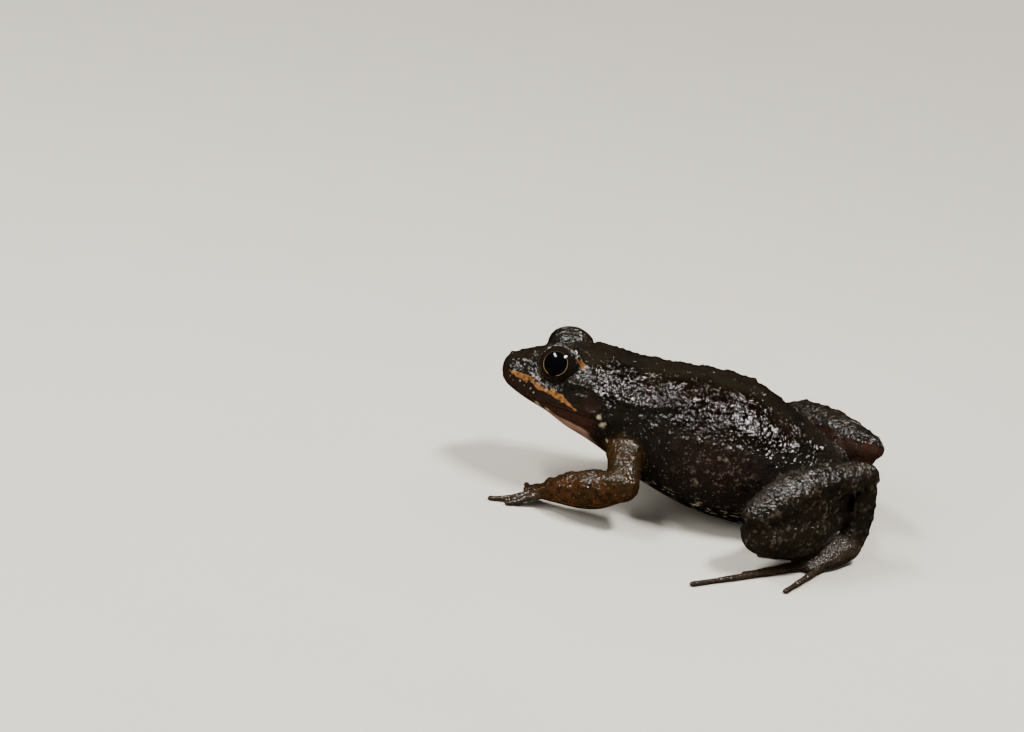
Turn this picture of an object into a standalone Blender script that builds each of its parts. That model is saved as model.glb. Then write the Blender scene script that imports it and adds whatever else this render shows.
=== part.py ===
"""A tropical bullfrog, a small frog of forest floors, sitting at life size.

The frog faces -Y, its left side is +X, and it rests on the floor at z = 0.
Every part of the body is one closed solid. Lengths are in millimetres, and
places are measured from under the tip of the snout: x to the frog's left,
y back along the body and z up. The last step moves the whole frog so that
the middle of its box is over the origin.
"""
import math
from functools import partial

import bmesh
import bpy
import numpy as np
from mathutils import Matrix, Vector

MM = 0.001
GAP = 0.3
FLOOR_BOX = 60.0
MERGE = 0.002
CURVE_POINTS = 40
SHARP_ANGLE = 50.0

# Head and trunk as one smooth body. Each station is: distance behind the
# snout, half width, top, widest height, bottom, fullness above and below.
BODY_STATIONS = [
    (0.12, 0.05, 9.95, 9.85, 9.75, 2.0, 2.0),
    (0.24, 1.05, 10.45, 9.70, 9.00, 2.0, 2.0),
    (0.70, 1.85, 10.90, 9.50, 8.40, 2.0, 2.0),
    (1.70, 2.85, 11.40, 9.30, 7.95, 1.9, 2.0),
    (3.20, 3.90, 12.00, 9.15, 7.45, 1.9, 2.0),
    (5.00, 4.80, 12.60, 9.05, 6.95, 1.9, 2.1),
    (7.00, 5.45, 13.00, 8.90, 5.95, 2.0, 2.2),
    (9.00, 5.85, 13.30, 8.60, 5.20, 2.1, 2.2),
    (11.0, 5.75, 13.10, 8.10, 4.15, 2.1, 2.2),
    (13.5, 6.00, 13.00, 7.60, 2.60, 2.1, 2.1),
    (16.5, 6.80, 13.05, 7.00, 1.40, 2.1, 2.0),
    (19.5, 7.35, 13.10, 6.70, 0.55, 2.1, 2.0),
    (22.0, 7.30, 12.95, 6.50, 0.05, 2.1, 1.85),
    (24.0, 6.90, 12.25, 6.30, -0.15, 2.1, 1.75),
    (26.0, 6.20, 11.25, 6.00, 0.05, 2.1, 1.9),
    (28.0, 5.30, 10.30, 5.90, 1.00, 2.1, 2.1),
    (30.0, 4.10, 9.20, 5.80, 2.40, 2.0, 2.0),
    (31.8, 2.60, 7.50, 5.70, 4.00, 2.0, 2.0),
    (32.8, 1.20, 6.40, 5.60, 4.90, 2.0, 2.0),
    (33.1, 0.05, 5.65, 5.60, 5.55, 2.0, 2.0),
]
NECK = 10.9
BODY_READINGS = 400
SURFACE_STEP = 0.05
HEAD_RINGS = 20
TRUNK_RINGS = 24
BODY_SIDES = 32

# Ball of each eye, looking outwards and a little up, and its lids.
EYE_CENTRE = (3.0, 5.45, 11.86)
EYE_RADIUS = 1.65
EYE_GAZE = (0.93, -0.18, 0.38)
EYE_OPENING = 1.68
EYE_GAP = 0.15
LID_SHIFT = (0.0, 0.2, 0.0)
LID_REACH = (2.12, 2.2, 1.95)
EYE_SIDES = 18

# Nostrils, mouth and eardrums.
NOSTRIL = (1.25, 10.75)
NOSTRIL_REACH = (0.26, 0.31, 0.26)
NOSTRIL_SIDES = 12
MOUTH_LINE = [(0.0, 8.85), (1.2, 8.65), (3.0, 8.4), (5.0, 8.15), (7.0, 7.85), (9.5, 7.45)]
MOUTH_GROOVE = (0.26, 0.4)
MOUTH_STEPS = 12
EARDRUM_PLACE = (9.2, 9.9)
EARDRUM_RADIUS = 0.8
EARDRUM_THICKNESS = 0.4
EARDRUM_SIDES = 16

# Limbs: rows of x, y, z, half width and half height along each bone.
CAP_ANGLES = (30.0, 60.0)
SIDES = {"left": 1.0, "right": -1.0}
UPPER_ARM = {
    "left": [(4.6, 12.6, 6.2, 1.6, 1.65), (6.9, 13.1, 5.3, 1.5, 1.55), (9.2, 13.4, 4.2, 1.5, 1.5)],
    "right": [(4.6, 12.8, 6.2, 1.6, 1.65), (7.0, 15.6, 5.1, 1.5, 1.55), (9.4, 18.2, 3.8, 1.5, 1.5)],
}
FOREARM = {
    "left": [(9.2, 13.1, 4.0, 1.4, 1.4), (8.9, 11.2, 3.2, 1.6, 1.75), (8.2, 9.0, 2.45, 1.5, 1.55),
             (7.6, 7.4, 1.8, 1.1, 1.1)],
    "right": [(9.4, 17.9, 3.7, 1.4, 1.4), (10.3, 16.2, 2.9, 1.6, 1.75), (11.2, 14.6, 2.3, 1.5, 1.55),
              (11.8, 13.4, 1.75, 1.1, 1.1)],
}
PALM = {
    "left": [(7.5, 7.3, 1.55, 1.0, 0.85), (7.2, 6.1, 1.3, 1.15, 0.6), (7.1, 5.3, 1.1, 0.9, 0.45)],
    "right": [(11.8, 13.3, 1.55, 1.0, 0.85), (12.4, 12.3, 1.3, 1.15, 0.6), (12.8, 11.6, 1.1, 0.9, 0.45)],
}
FINGER_TIPS = {
    "left": [(3.3, 6.2), (3.6, 4.5), (8.7, 2.0), (9.0, 3.6)],
    "right": [(11.5, 10.7), (12.9, 9.4), (14.4, 8.8), (15.3, 10.6)],
}
THIGH = [(3.1, 31.0, 4.9, 2.4, 2.4), (6.5, 30.1, 4.2, 2.85, 2.85), (9.8, 28.3, 3.8, 2.7, 2.7),
         (12.2, 26.35, 3.8, 1.95, 1.95)]
SHANK = {
    "left": [(12.9, 25.7, 5.6, 1.5, 1.5), (11.5, 27.4, 6.9, 1.85, 1.85), (8.9, 29.8, 7.75, 1.85, 1.85),
             (6.2, 32.4, 8.05, 1.5, 1.5), (4.4, 34.2, 8.1, 1.2, 1.2)],
    "right": [(12.8, 25.9, 4.75, 1.9, 1.9), (11.3, 27.4, 6.0, 2.3, 2.3), (8.7, 29.8, 6.95, 2.25, 2.25),
              (6.2, 32.3, 7.3, 1.95, 1.95), (4.4, 34.1, 7.7, 1.35, 1.35)],
}
TARSUS = {
    "left": [(4.4, 34.2, 7.8, 1.0, 1.0), (4.5, 34.4, 5.2, 1.25, 1.2), (4.8, 34.2, 2.8, 1.35, 1.25),
             (5.1, 33.9, 1.4, 1.25, 1.2)],
    "right": [(4.4, 34.1, 7.6, 1.0, 1.0), (4.8, 33.6, 5.2, 1.15, 1.05), (5.4, 32.8, 2.6, 1.2, 1.1),
              (5.9, 32.3, 1.3, 1.15, 1.05)],
}
FOOT = {
    "left": [(5.4, 33.6, 1.4, 1.3, 1.35), (7.2, 32.1, 1.0, 1.5, 1.1), (8.8, 30.5, 0.55, 1.5, 0.65)],
    "right": [(6.2, 32.0, 1.15, 1.15, 1.1), (8.0, 30.3, 0.9, 1.45, 0.95), (9.6, 28.7, 0.55, 1.5, 0.65)],
}
TOE_LENGTHS = (2.6, 4.0, 7.2, 13.2, 6.9)
TOE_TURNS = (50.0, 30.0, 1.5, 1.0, -22.0)
TOE_ROOTS = ((-1.45, 2.1), (-1.25, 0.9), (-0.45, 0.3), (0.4, 0.1), (1.15, 0.9))
FOOT_HEADING = -45.0
FINGER_SPREAD = 0.62
FINGER_MIDDLE = 1.5
DIGIT_RADIUS = 0.31
DIGIT_HEIGHT = 0.3
DIGIT_SINK = 0.72
DIGIT_SHAPE = ((0.0, 1.15, 1.0), (0.35, 1.0, 0.7), (0.7, 0.92, 0.15), (1.0, 0.85, 0.0))
FINGER_RISE = 0.8
TOE_RISE = 0.22

# Rings along each limb and points round each ring.
RINGS = {"upper_arm": (6, 14), "forearm": (8, 14), "hand": (5, 12), "digit": (6, 8),
         "thigh": (8, 16), "shank": (9, 16), "tarsus": (6, 12), "foot": (6, 12)}
UPWARD = (0.0, 0.0, 1.0)
BACKWARD = (0.0, 1.0, 0.0)

# Each finish: name, colour and roughness.
FINISHES = {
    "dark": ("skin_dark", (0.035, 0.029, 0.025), 0.28),
    "brown": ("skin_brown", (0.060, 0.042, 0.032), 0.3),
    "arm": ("arm_rust", (0.150, 0.070, 0.030), 0.3),
    "digit": ("digit_brown", (0.085, 0.050, 0.034), 0.32),
    "eye": ("eye_black", (0.006, 0.005, 0.005), 0.05),
    "drum": ("eardrum_red", (0.070, 0.035, 0.026), 0.3),
}


def clear_scene():
    """Removes whatever the scene holds at the start."""
    for item in list(bpy.data.objects):
        bpy.data.objects.remove(item)


def material(name, colour, roughness):
    """A wet skin or eye finish."""
    finish = bpy.data.materials.new(name)
    finish.use_nodes = True
    shader = finish.node_tree.nodes["Principled BSDF"]
    shader.inputs["Base Color"].default_value = (*colour, 1.0)
    shader.inputs["Roughness"].default_value = roughness
    shader.inputs["Metallic"].default_value = 0.0
    return finish


def smooth_rows(rows, count, sizes=3):
    """Reads count rows, evenly spread, from a smooth curve through the given rows."""
    rows = np.array(rows, float)
    gaps = np.linalg.norm(np.diff(rows[:, :sizes], axis=0), axis=1)
    knots = np.concatenate([[0.0], np.cumsum(np.sqrt(gaps))])
    slopes = np.gradient(rows, knots, axis=0)
    dense = np.linspace(0.0, knots[-1], CURVE_POINTS * len(rows))
    piece = np.clip(np.searchsorted(knots, dense, side="right") - 1, 0, len(rows) - 2)
    width = knots[piece + 1] - knots[piece]
    t = ((dense - knots[piece]) / width)[:, None]
    curve = ((1 + 2 * t) * (1 - t) ** 2 * rows[piece]
             + t * (1 - t) ** 2 * width[:, None] * slopes[piece]
             + t * t * (3 - 2 * t) * rows[piece + 1]
             + t * t * (t - 1) * width[:, None] * slopes[piece + 1])
    travelled = np.concatenate([[0.0], np.cumsum(np.linalg.norm(np.diff(curve[:, :sizes], axis=0), axis=1))])
    wanted = np.linspace(0.0, travelled[-1], count)
    return np.stack([np.interp(wanted, travelled, column) for column in curve.T], axis=1)


def solid(name, rings, first=None, last=None):
    """A closed solid through rings of points, with a pole or a flat end at each end."""
    shape = bmesh.new()
    loops = [[shape.verts.new(Vector(point) * MM) for point in ring] for ring in rings]
    sides = len(loops[0])
    for ring, following in zip(loops, loops[1:]):
        for k in range(sides):
            after = (k + 1) % sides
            shape.faces.new((ring[k], ring[after], following[after], following[k]))
    for ring, pole in ((loops[0], first), (loops[-1], last)):
        if pole is None:
            shape.faces.new(ring)
            continue
        tip = shape.verts.new(Vector(pole) * MM)
        for k in range(sides):
            shape.faces.new((ring[k], ring[(k + 1) % sides], tip))
    bmesh.ops.recalc_face_normals(shape, faces=shape.faces)
    bmesh.ops.triangulate(shape, faces=shape.faces)
    return as_object(name, shape)


def as_object(name, shape):
    """Puts a bmesh into the scene as an object."""
    mesh = bpy.data.meshes.new(name)
    shape.to_mesh(mesh)
    shape.free()
    item = bpy.data.objects.new(name, mesh)
    bpy.context.scene.collection.objects.link(item)
    return item


def section_point(row, angle, margin=0.0):
    """A point of the body's cross-section: angle 0 is the left side and 90 degrees the back."""
    y, half, top, wide, bottom, full_top, full_bottom = row
    across, up = math.cos(angle), math.sin(angle)
    power = 2.0 / (full_top if up >= 0 else full_bottom)
    height = (top - wide if up >= 0 else wide - bottom) + margin
    x = (half + margin) * math.copysign(abs(across) ** power, across)
    z = wide + height * math.copysign(abs(up) ** power, up)
    return (x, y, z)


BODY_ROWS = smooth_rows(BODY_STATIONS, BODY_READINGS, sizes=4)


def body_row(y):
    """The body's cross-section at a distance behind the snout."""
    return [np.interp(y, BODY_ROWS[:, 0], column) for column in BODY_ROWS.T]


def body_surface(y, z, side=1.0, margin=0.0):
    """The point of the skin at a distance behind the snout and a height."""
    row = body_row(y)
    half, top, wide, bottom, full_top, full_bottom = row[1:]
    reach, full = (top - wide, full_top) if z >= wide else (wide - bottom, full_bottom)
    level = min(abs(z - wide) / (reach + margin), 1.0)
    return Vector((side * (half + margin) * (1.0 - level ** full) ** (1.0 / full), y, z))


def body_normal(y, z, side=1.0):
    """The direction that points straight out of the skin there."""
    along = body_surface(y + SURFACE_STEP, z, side) - body_surface(y - SURFACE_STEP, z, side)
    upward = body_surface(y, z + SURFACE_STEP, side) - body_surface(y, z - SURFACE_STEP, side)
    return (upward.cross(along) * -side).normalized()


def body_length(start, end, rings, margin=0.0):
    """Rings of the body between two distances behind the snout."""
    inside = BODY_ROWS[(BODY_ROWS[:, 0] > start) & (BODY_ROWS[:, 0] < end)]
    rows = [body_row(start), *inside, body_row(end)]
    rows = smooth_rows(rows, rings, sizes=4)
    angles = [2 * math.pi * k / BODY_SIDES for k in range(BODY_SIDES)]
    return [[section_point(row, angle, margin) for angle in angles] for row in rows]


def head_shell(name, margin=0.0):
    """The head from the snout to the neck."""
    tip = BODY_STATIONS[0]
    rings = body_length(tip[0], NECK - GAP / 2, HEAD_RINGS, margin)
    if not margin:
        return solid(name, rings[1:], first=(0.0, tip[0], tip[3]))
    return solid(name, rings, first=(0.0, tip[0] - margin, tip[3]))


def trunk_shell(name, margin=0.0):
    """The trunk from the neck to the vent."""
    end = BODY_STATIONS[-1]
    rings = body_length(NECK + GAP / 2, end[0], TRUNK_RINGS, margin)
    if not margin:
        return solid(name, rings[:-1], last=(0.0, end[0], end[3]))
    return solid(name, rings, last=(0.0, end[0] + margin, end[3]))


def limb_shell(name, rows, kind, up=UPWARD, margin=0.0):
    """A round-ended limb along rows of x, y, z, half width and half height."""
    rings, sides = RINGS[kind]
    path = smooth_rows(rows, rings)
    centres = path[:, :3]
    ahead = np.gradient(centres, axis=0)
    ahead /= np.linalg.norm(ahead, axis=1)[:, None]
    stations = [(centre, way, wide + margin, high + margin)
                for centre, way, wide, high in zip(centres, ahead, path[:, 3], path[:, 4])]
    stations = end_cap(stations[0], -1.0)[::-1] + stations + end_cap(stations[-1], 1.0)
    loops = [oval(centre, way, wide, high, sides, up) for centre, way, wide, high in stations]
    first = centres[0] - ahead[0] * (path[0, 3:].mean() + margin)
    last = centres[-1] + ahead[-1] * (path[-1, 3:].mean() + margin)
    return solid(name, loops, first=first, last=last)


def end_cap(station, sign):
    """Rings that round off a limb's end."""
    centre, way, wide, high = station
    reach = (wide + high) / 2
    turns = [math.radians(angle) for angle in CAP_ANGLES]
    return [(centre + way * sign * reach * math.sin(turn), way, wide * math.cos(turn), high * math.cos(turn))
            for turn in turns]


def oval(centre, way, wide, high, sides, up):
    """A ring of points round a limb's line."""
    across = np.cross(up, way)
    across /= np.linalg.norm(across)
    over = np.cross(way, across)
    turns = [2 * math.pi * k / sides for k in range(sides)]
    return [centre + across * wide * math.cos(turn) + over * high * math.sin(turn) for turn in turns]


def carve(item, cutter, operation="DIFFERENCE"):
    """Cuts a solid from an object, or joins it, and removes the other solid."""
    change = item.modifiers.new("carve", "BOOLEAN")
    change.operation = operation
    change.solver = "EXACT"
    change.object = cutter
    bpy.context.view_layer.update()
    graph = bpy.context.evaluated_depsgraph_get()
    mesh = bpy.data.meshes.new_from_object(item.evaluated_get(graph))
    item.modifiers.clear()
    old = item.data
    item.data = mesh
    bpy.data.meshes.remove(old)
    bpy.data.objects.remove(cutter)
    keep_largest(item)


def keep_largest(item):
    """Keeps the largest closed surface of an object and drops loose scraps."""
    shape = bmesh.new()
    shape.from_mesh(item.data)
    bmesh.ops.remove_doubles(shape, verts=shape.verts, dist=MERGE * MM)
    waiting = set(shape.faces)
    surfaces = []
    while waiting:
        found = {waiting.pop()}
        edge_of = list(found)
        while edge_of:
            face = edge_of.pop()
            near = {other for edge in face.edges for other in edge.link_faces} & waiting
            waiting -= near
            found |= near
            edge_of.extend(near)
        surfaces.append(found)
    surfaces.sort(key=len)
    scraps = [face for surface in surfaces[:-1] for face in surface]
    bmesh.ops.delete(shape, geom=scraps, context="FACES")
    bmesh.ops.triangulate(shape, faces=shape.faces)
    shape.to_mesh(item.data)
    shape.free()


def ball(name, centre, reach, sides=16):
    """An oval ball with a reach along each axis."""
    shape = bmesh.new()
    bmesh.ops.create_uvsphere(shape, u_segments=sides, v_segments=sides * 2 // 3, radius=1.0)
    bmesh.ops.transform(shape, matrix=Matrix.Diagonal(Vector(reach) * MM).to_4x4(), verts=shape.verts)
    bmesh.ops.translate(shape, vec=Vector(centre) * MM, verts=shape.verts)
    return as_object(name, shape)


def disc(name, centre, way, radius, low, high, sides):
    """A round plate across a direction, from low to high along it."""
    shape = bmesh.new()
    bmesh.ops.create_cone(shape, cap_ends=True, segments=sides, radius1=radius * MM,
                          radius2=radius * MM, depth=(high - low) * MM)
    turn = Vector(way).to_track_quat("Z", "Y").to_matrix().to_4x4()
    middle = Vector(centre) + Vector(way).normalized() * (low + high) / 2
    shape.transform(Matrix.Translation(middle * MM) @ turn)
    return as_object(name, shape)


def floor_cutter():
    """A block with its top on the floor."""
    shape = bmesh.new()
    bmesh.ops.create_cube(shape, size=2 * FLOOR_BOX * MM)
    bmesh.ops.translate(shape, vec=(0.0, 0.0, -FLOOR_BOX * MM), verts=shape.verts)
    return as_object("floor", shape)


def mirrored(place, side):
    """A place on the left side, moved to the wanted side."""
    return (SIDES[side] * place[0], *place[1:])


def mouth_height(y):
    """The height of the line of the mouth."""
    return float(np.interp(y, *zip(*MOUTH_LINE)))


def mouth_front():
    """How far behind the snout's tip the line of the mouth starts."""
    return next(row[0] for row in BODY_ROWS if row[4] < mouth_height(row[0]))


def mouth_groove():
    """A horseshoe that follows the line of the mouth from corner to corner."""
    height, depth = MOUTH_GROOVE
    front, corner = mouth_front(), MOUTH_LINE[-1][0]
    shares = [(k / MOUTH_STEPS) ** 2 for k in range(MOUTH_STEPS, 0, -1)]
    steps = [front + (corner - front) * share for share in shares]
    left = [body_surface(y, mouth_height(y)) for y in steps]
    middle = Vector((0.0, front, mouth_height(front)))
    line = left + [middle] + [Vector((-point.x, point.y, point.z)) for point in reversed(left)]
    rings = []
    for k, point in enumerate(line):
        way = line[min(k + 1, len(line) - 1)] - line[max(k - 1, 0)]
        out = Vector((-way.y, way.x, 0.0)).normalized() * -1.0
        inner, outer = point - out * depth, point + out * depth
        lift = Vector((0.0, 0.0, height / 2))
        rings.append([inner - lift, outer - lift, outer + lift, inner + lift])
    return solid("mouth", rings)


def eye_place(side):
    """The centre of an eye's ball and the way it looks."""
    return Vector(mirrored(EYE_CENTRE, side)), Vector(mirrored(EYE_GAZE, side)).normalized()


def eye_socket(side):
    """The hollow for an eye, open towards the way it looks."""
    centre, gaze = eye_place(side)
    reach = EYE_RADIUS + EYE_GAP
    hollow = ball("socket", centre, (reach, reach, reach), EYE_SIDES)
    carve(hollow, disc("opening", centre, gaze, EYE_OPENING, 0.0, 2 * reach, EYE_SIDES), "UNION")
    return hollow


def make_head(finish):
    """The head with lids, eye sockets, nostrils, the line of the mouth and beds for the eardrums."""
    head = head_shell("head")
    for side in SIDES:
        centre = eye_place(side)[0] + Vector(LID_SHIFT)
        carve(head, ball("lid", centre, LID_REACH, EYE_SIDES), "UNION")
    for side, sign in SIDES.items():
        carve(head, eye_socket(side))
        nostril = body_surface(*NOSTRIL, side=sign)
        carve(head, ball("nostril", nostril, NOSTRIL_REACH, NOSTRIL_SIDES))
        drum = body_surface(*EARDRUM_PLACE, side=sign)
        way = body_normal(*EARDRUM_PLACE, side=sign)
        bed = EARDRUM_THICKNESS + GAP
        carve(head, disc("bed", drum, way, EARDRUM_RADIUS + GAP, -bed, bed, EARDRUM_SIDES))
    carve(head, mouth_groove())
    head.data.materials.append(finish)
    return head


def make_eye(side, finish):
    """The ball of an eye."""
    centre = eye_place(side)[0]
    eye = ball("eye_" + side, centre, (EYE_RADIUS, EYE_RADIUS, EYE_RADIUS), EYE_SIDES)
    eye.data.materials.append(finish)


def make_eardrum(side, finish):
    """The round eardrum, flush with the cheek."""
    sign = SIDES[side]
    drum = body_surface(*EARDRUM_PLACE, side=sign)
    way = body_normal(*EARDRUM_PLACE, side=sign)
    plate = disc("tympanum_" + side, drum, way, EARDRUM_RADIUS, -EARDRUM_THICKNESS, 0.0, EARDRUM_SIDES)
    plate.data.materials.append(finish)


def make_part(name, shell, finish, neighbours, floor=False):
    """One part, cut clear of its neighbours and level with the floor."""
    item = shell(name)
    for neighbour in neighbours:
        carve(item, neighbour("clearance", margin=GAP))
    if floor:
        carve(item, floor_cutter())
    item.data.materials.append(finish)
    return item


def digit_shell(name, root, tip, lift, margin=0.0):
    """A finger or toe from its root to its tip, with its root lifted off the floor."""
    root, tip = Vector(root), Vector(tip)
    level = DIGIT_HEIGHT * DIGIT_SINK
    rows = []
    for share, thick, rise in DIGIT_SHAPE:
        place = root.lerp(tip, share)
        rows.append((place.x, place.y, level + rise * lift, DIGIT_RADIUS * thick, DIGIT_HEIGHT * thick))
    return limb_shell(name, rows, "digit", margin=margin)


def finger_shells(side):
    """The four fingers of a hand, innermost first."""
    middle, front = [Vector(mirrored(row, side)[:2]) for row in PALM[side][1:]]
    ahead = (front - middle).normalized()
    outward = Vector((-ahead.y, ahead.x)) * SIDES[side]
    shells = []
    for k, tip in enumerate(FINGER_TIPS[side]):
        root = middle + outward * (k - FINGER_MIDDLE) * FINGER_SPREAD
        tip = mirrored(tip, side)
        shells.append(partial(digit_shell, root=(*root, 0.0), tip=(*tip, 0.0), lift=FINGER_RISE))
    return shells


def toe_shells(side):
    """The five toes of a foot, innermost first."""
    sign = SIDES[side]
    front = Vector(FOOT[side][-1][:2])
    heading = math.radians(FOOT_HEADING)
    ahead = Vector((math.cos(heading), math.sin(heading)))
    outward = Vector((-ahead.y, ahead.x))
    shells = []
    for length, turn, (across, back) in zip(TOE_LENGTHS, TOE_TURNS, TOE_ROOTS):
        root = front + outward * across - ahead * back
        angle = math.radians(turn)
        way = ahead * math.cos(angle) - outward * math.sin(angle)
        tip = root + way * length
        ends = [(sign * end.x, end.y, 0.0) for end in (root, tip)]
        shells.append(partial(digit_shell, root=ends[0], tip=ends[1], lift=TOE_RISE))
    return shells


def make_arm(side, trunk, head, finishes):
    """Upper arm, forearm, hand and fingers of one side."""
    rows = [[mirrored(row, side) for row in limb[side]] for limb in (UPPER_ARM, FOREARM, PALM)]
    upper = partial(limb_shell, rows=rows[0], kind="upper_arm")
    fore = partial(limb_shell, rows=rows[1], kind="forearm")
    palm = partial(limb_shell, rows=rows[2], kind="hand")
    make_part("upper_arm_" + side, upper, finishes["arm"], [trunk, head])
    make_part("forearm_" + side, fore, finishes["arm"], [upper, trunk], floor=True)
    make_part("hand_" + side, palm, finishes["digit"], [fore], floor=True)
    done = []
    for k, shell in enumerate(finger_shells(side)):
        make_part(f"finger_{k + 1}_{side}", shell, finishes["digit"], [palm, fore, *done[-1:]], floor=True)
        done.append(shell)


def make_leg(side, trunk, finishes):
    """Thigh, shank, tarsus, foot and toes of one side."""
    limbs = (THIGH, SHANK[side], TARSUS[side], FOOT[side])
    rows = [[mirrored(row, side) for row in limb] for limb in limbs]
    thigh = partial(limb_shell, rows=rows[0], kind="thigh")
    shank = partial(limb_shell, rows=rows[1], kind="shank")
    tarsus = partial(limb_shell, rows=rows[2], kind="tarsus", up=BACKWARD)
    foot = partial(limb_shell, rows=rows[3], kind="foot")
    make_part("thigh_" + side, thigh, finishes["brown"], [trunk, shank])
    make_part("shank_" + side, shank, finishes["dark"], [trunk])
    make_part("tarsus_" + side, tarsus, finishes["dark"], [shank, trunk, thigh], floor=True)
    make_part("foot_" + side, foot, finishes["digit"], [tarsus, thigh], floor=True)
    done = []
    for k, shell in enumerate(toe_shells(side)):
        cutters = [foot, tarsus, thigh, *done[-1:]]
        make_part(f"toe_{k + 1}_{side}", shell, finishes["digit"], cutters, floor=True)
        done.append(shell)


def settle():
    """Moves the frog so that the middle of its box is over the origin, and shades it smooth."""
    items = list(bpy.context.scene.objects)
    points = np.array([vertex.co for item in items for vertex in item.data.vertices])
    low, high = points.min(axis=0), points.max(axis=0)
    middle = Vector(((low[0] + high[0]) / 2, (low[1] + high[1]) / 2, low[2]))
    for item in items:
        item.data.transform(Matrix.Translation(-middle))
        item.data.shade_smooth()
        item.data.set_sharp_from_angle(angle=math.radians(SHARP_ANGLE))


def main():
    """Builds the whole frog."""
    clear_scene()
    finishes = {key: material(*values) for key, values in FINISHES.items()}
    trunk, head = trunk_shell, head_shell
    make_head(finishes["dark"])
    make_part("torso", trunk, finishes["dark"], [], floor=True)
    for side in SIDES:
        make_eye(side, finishes["eye"])
        make_eardrum(side, finishes["drum"])
        make_arm(side, trunk, head, finishes)
        make_leg(side, trunk, finishes)
    settle()


main()
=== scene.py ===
# %% [markdown]
# # A tropical bullfrog at life size
# This small, dark forest frog sits with its chin up and its legs folded.
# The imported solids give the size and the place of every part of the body.
# Here the same forms are lofted finely, fused into one living skin, and given
# lids, lips, folds, warts, markings and a wet finish. The eyes stay separate.
# Lengths are in millimetres behind and above the tip of the snout: x to the
# frog's left, y back along the body, z up. One shift puts them into the frame.

# %% Load the frame
import math

import bmesh
import bpy
import numpy as np
from mathutils import Matrix, Vector, noise


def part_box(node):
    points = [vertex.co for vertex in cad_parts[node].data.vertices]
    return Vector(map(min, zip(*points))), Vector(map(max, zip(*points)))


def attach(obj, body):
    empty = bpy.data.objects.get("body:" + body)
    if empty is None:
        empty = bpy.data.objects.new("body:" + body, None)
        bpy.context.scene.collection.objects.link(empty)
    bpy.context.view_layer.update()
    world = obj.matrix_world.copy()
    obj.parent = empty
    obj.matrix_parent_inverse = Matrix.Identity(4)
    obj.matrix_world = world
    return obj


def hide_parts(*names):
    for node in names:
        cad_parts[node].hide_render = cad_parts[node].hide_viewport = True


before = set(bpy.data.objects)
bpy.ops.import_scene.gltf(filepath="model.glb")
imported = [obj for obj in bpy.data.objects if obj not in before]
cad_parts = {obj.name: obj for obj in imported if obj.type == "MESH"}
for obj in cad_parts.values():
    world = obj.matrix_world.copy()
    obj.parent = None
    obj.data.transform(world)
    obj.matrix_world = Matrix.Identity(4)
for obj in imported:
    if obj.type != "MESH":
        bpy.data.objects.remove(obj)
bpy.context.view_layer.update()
MM = 0.001
EYE_CENTRE = np.array([3.0, 5.45, 11.86])
SHIFT = np.mean(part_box("eye_left"), axis=0) - EYE_CENTRE * MM
SIDES = {"left": 1.0, "right": -1.0}
print("the frame holds", len(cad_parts), "nodes, shift in mm", np.round(SHIFT / MM, 2))


# %% [markdown]
# ## The camera
# The photograph looks at the frog's left side from a little above, close by,
# with the camera rolled, so the floor seems to fall to the right. The view is
# given as a place and three angles, as a photographer would note it down.

# %% The camera's place and angles
LENS, SENSOR = 100.0, 36.0
CAMERA_PLACE = np.array([243.48, 26.54, 94.12])
ELEVATION, HEADING, ROLL = (math.radians(angle) for angle in (19.0, 6.0, 10.0))


def camera_axes():
    """The picture's right, its up and the way back to the camera."""
    level = np.array([-math.sin(HEADING), math.cos(HEADING), 0.0])
    rise = np.array([-math.cos(HEADING) * math.sin(ELEVATION),
                     -math.sin(HEADING) * math.sin(ELEVATION), math.cos(ELEVATION)])
    right = level * math.cos(ROLL) + rise * math.sin(ROLL)
    up = rise * math.cos(ROLL) - level * math.sin(ROLL)
    return right, up, np.cross(right, up)


view = Matrix(np.stack(camera_axes(), axis=1).tolist()).to_4x4()
view.translation = Vector(CAMERA_PLACE * MM + SHIFT)
camera_data = bpy.data.cameras.new("camera")
camera_data.lens, camera_data.sensor_width = LENS, SENSOR
camera_data.clip_start = 0.01
camera = bpy.data.objects.new("camera", camera_data)
camera.matrix_world = view
bpy.context.scene.collection.objects.link(camera)
bpy.context.scene.camera = camera
print("camera at", [round(value, 3) for value in camera.matrix_world.translation])


# %% [markdown]
# ## A node tree written as sums
# Finishes and Geometry Nodes are both made of small nodes. Placing them one by
# one hides the idea, so a value here knows how to add, multiply and blend, and
# one method makes any other node from its settings and the values it takes.

# %% Values and trees
class Value:
    """An output of a node, ready to be used in a sum."""

    def __init__(self, tree, socket):
        self.tree, self.socket = tree, socket

    def math(self, operation, *others):
        """A Math node on this value and others."""
        values = dict(enumerate((self, *others)))
        return self.tree.node("ShaderNodeMath", {"operation": operation}, values)

    def __add__(self, other):
        return self.math("ADD", other)

    def __mul__(self, other):
        return self.math("MULTIPLY", other)

    def __sub__(self, other):
        return self.math("SUBTRACT", other)

    def __rsub__(self, other):
        return (self * -1.0).math("ADD", other)

    __radd__ = __add__
    __rmul__ = __mul__

    def between(self, low, high):
        """A soft step from 0 at low to 1 at high."""
        values = {"Value": self, "From Min": low, "From Max": high}
        return self.tree.node("ShaderNodeMapRange", {"interpolation_type": "SMOOTHSTEP"}, values)

    def other(self, name):
        """Another output of the same node."""
        return Value(self.tree, self.socket.node.outputs[name])


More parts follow.
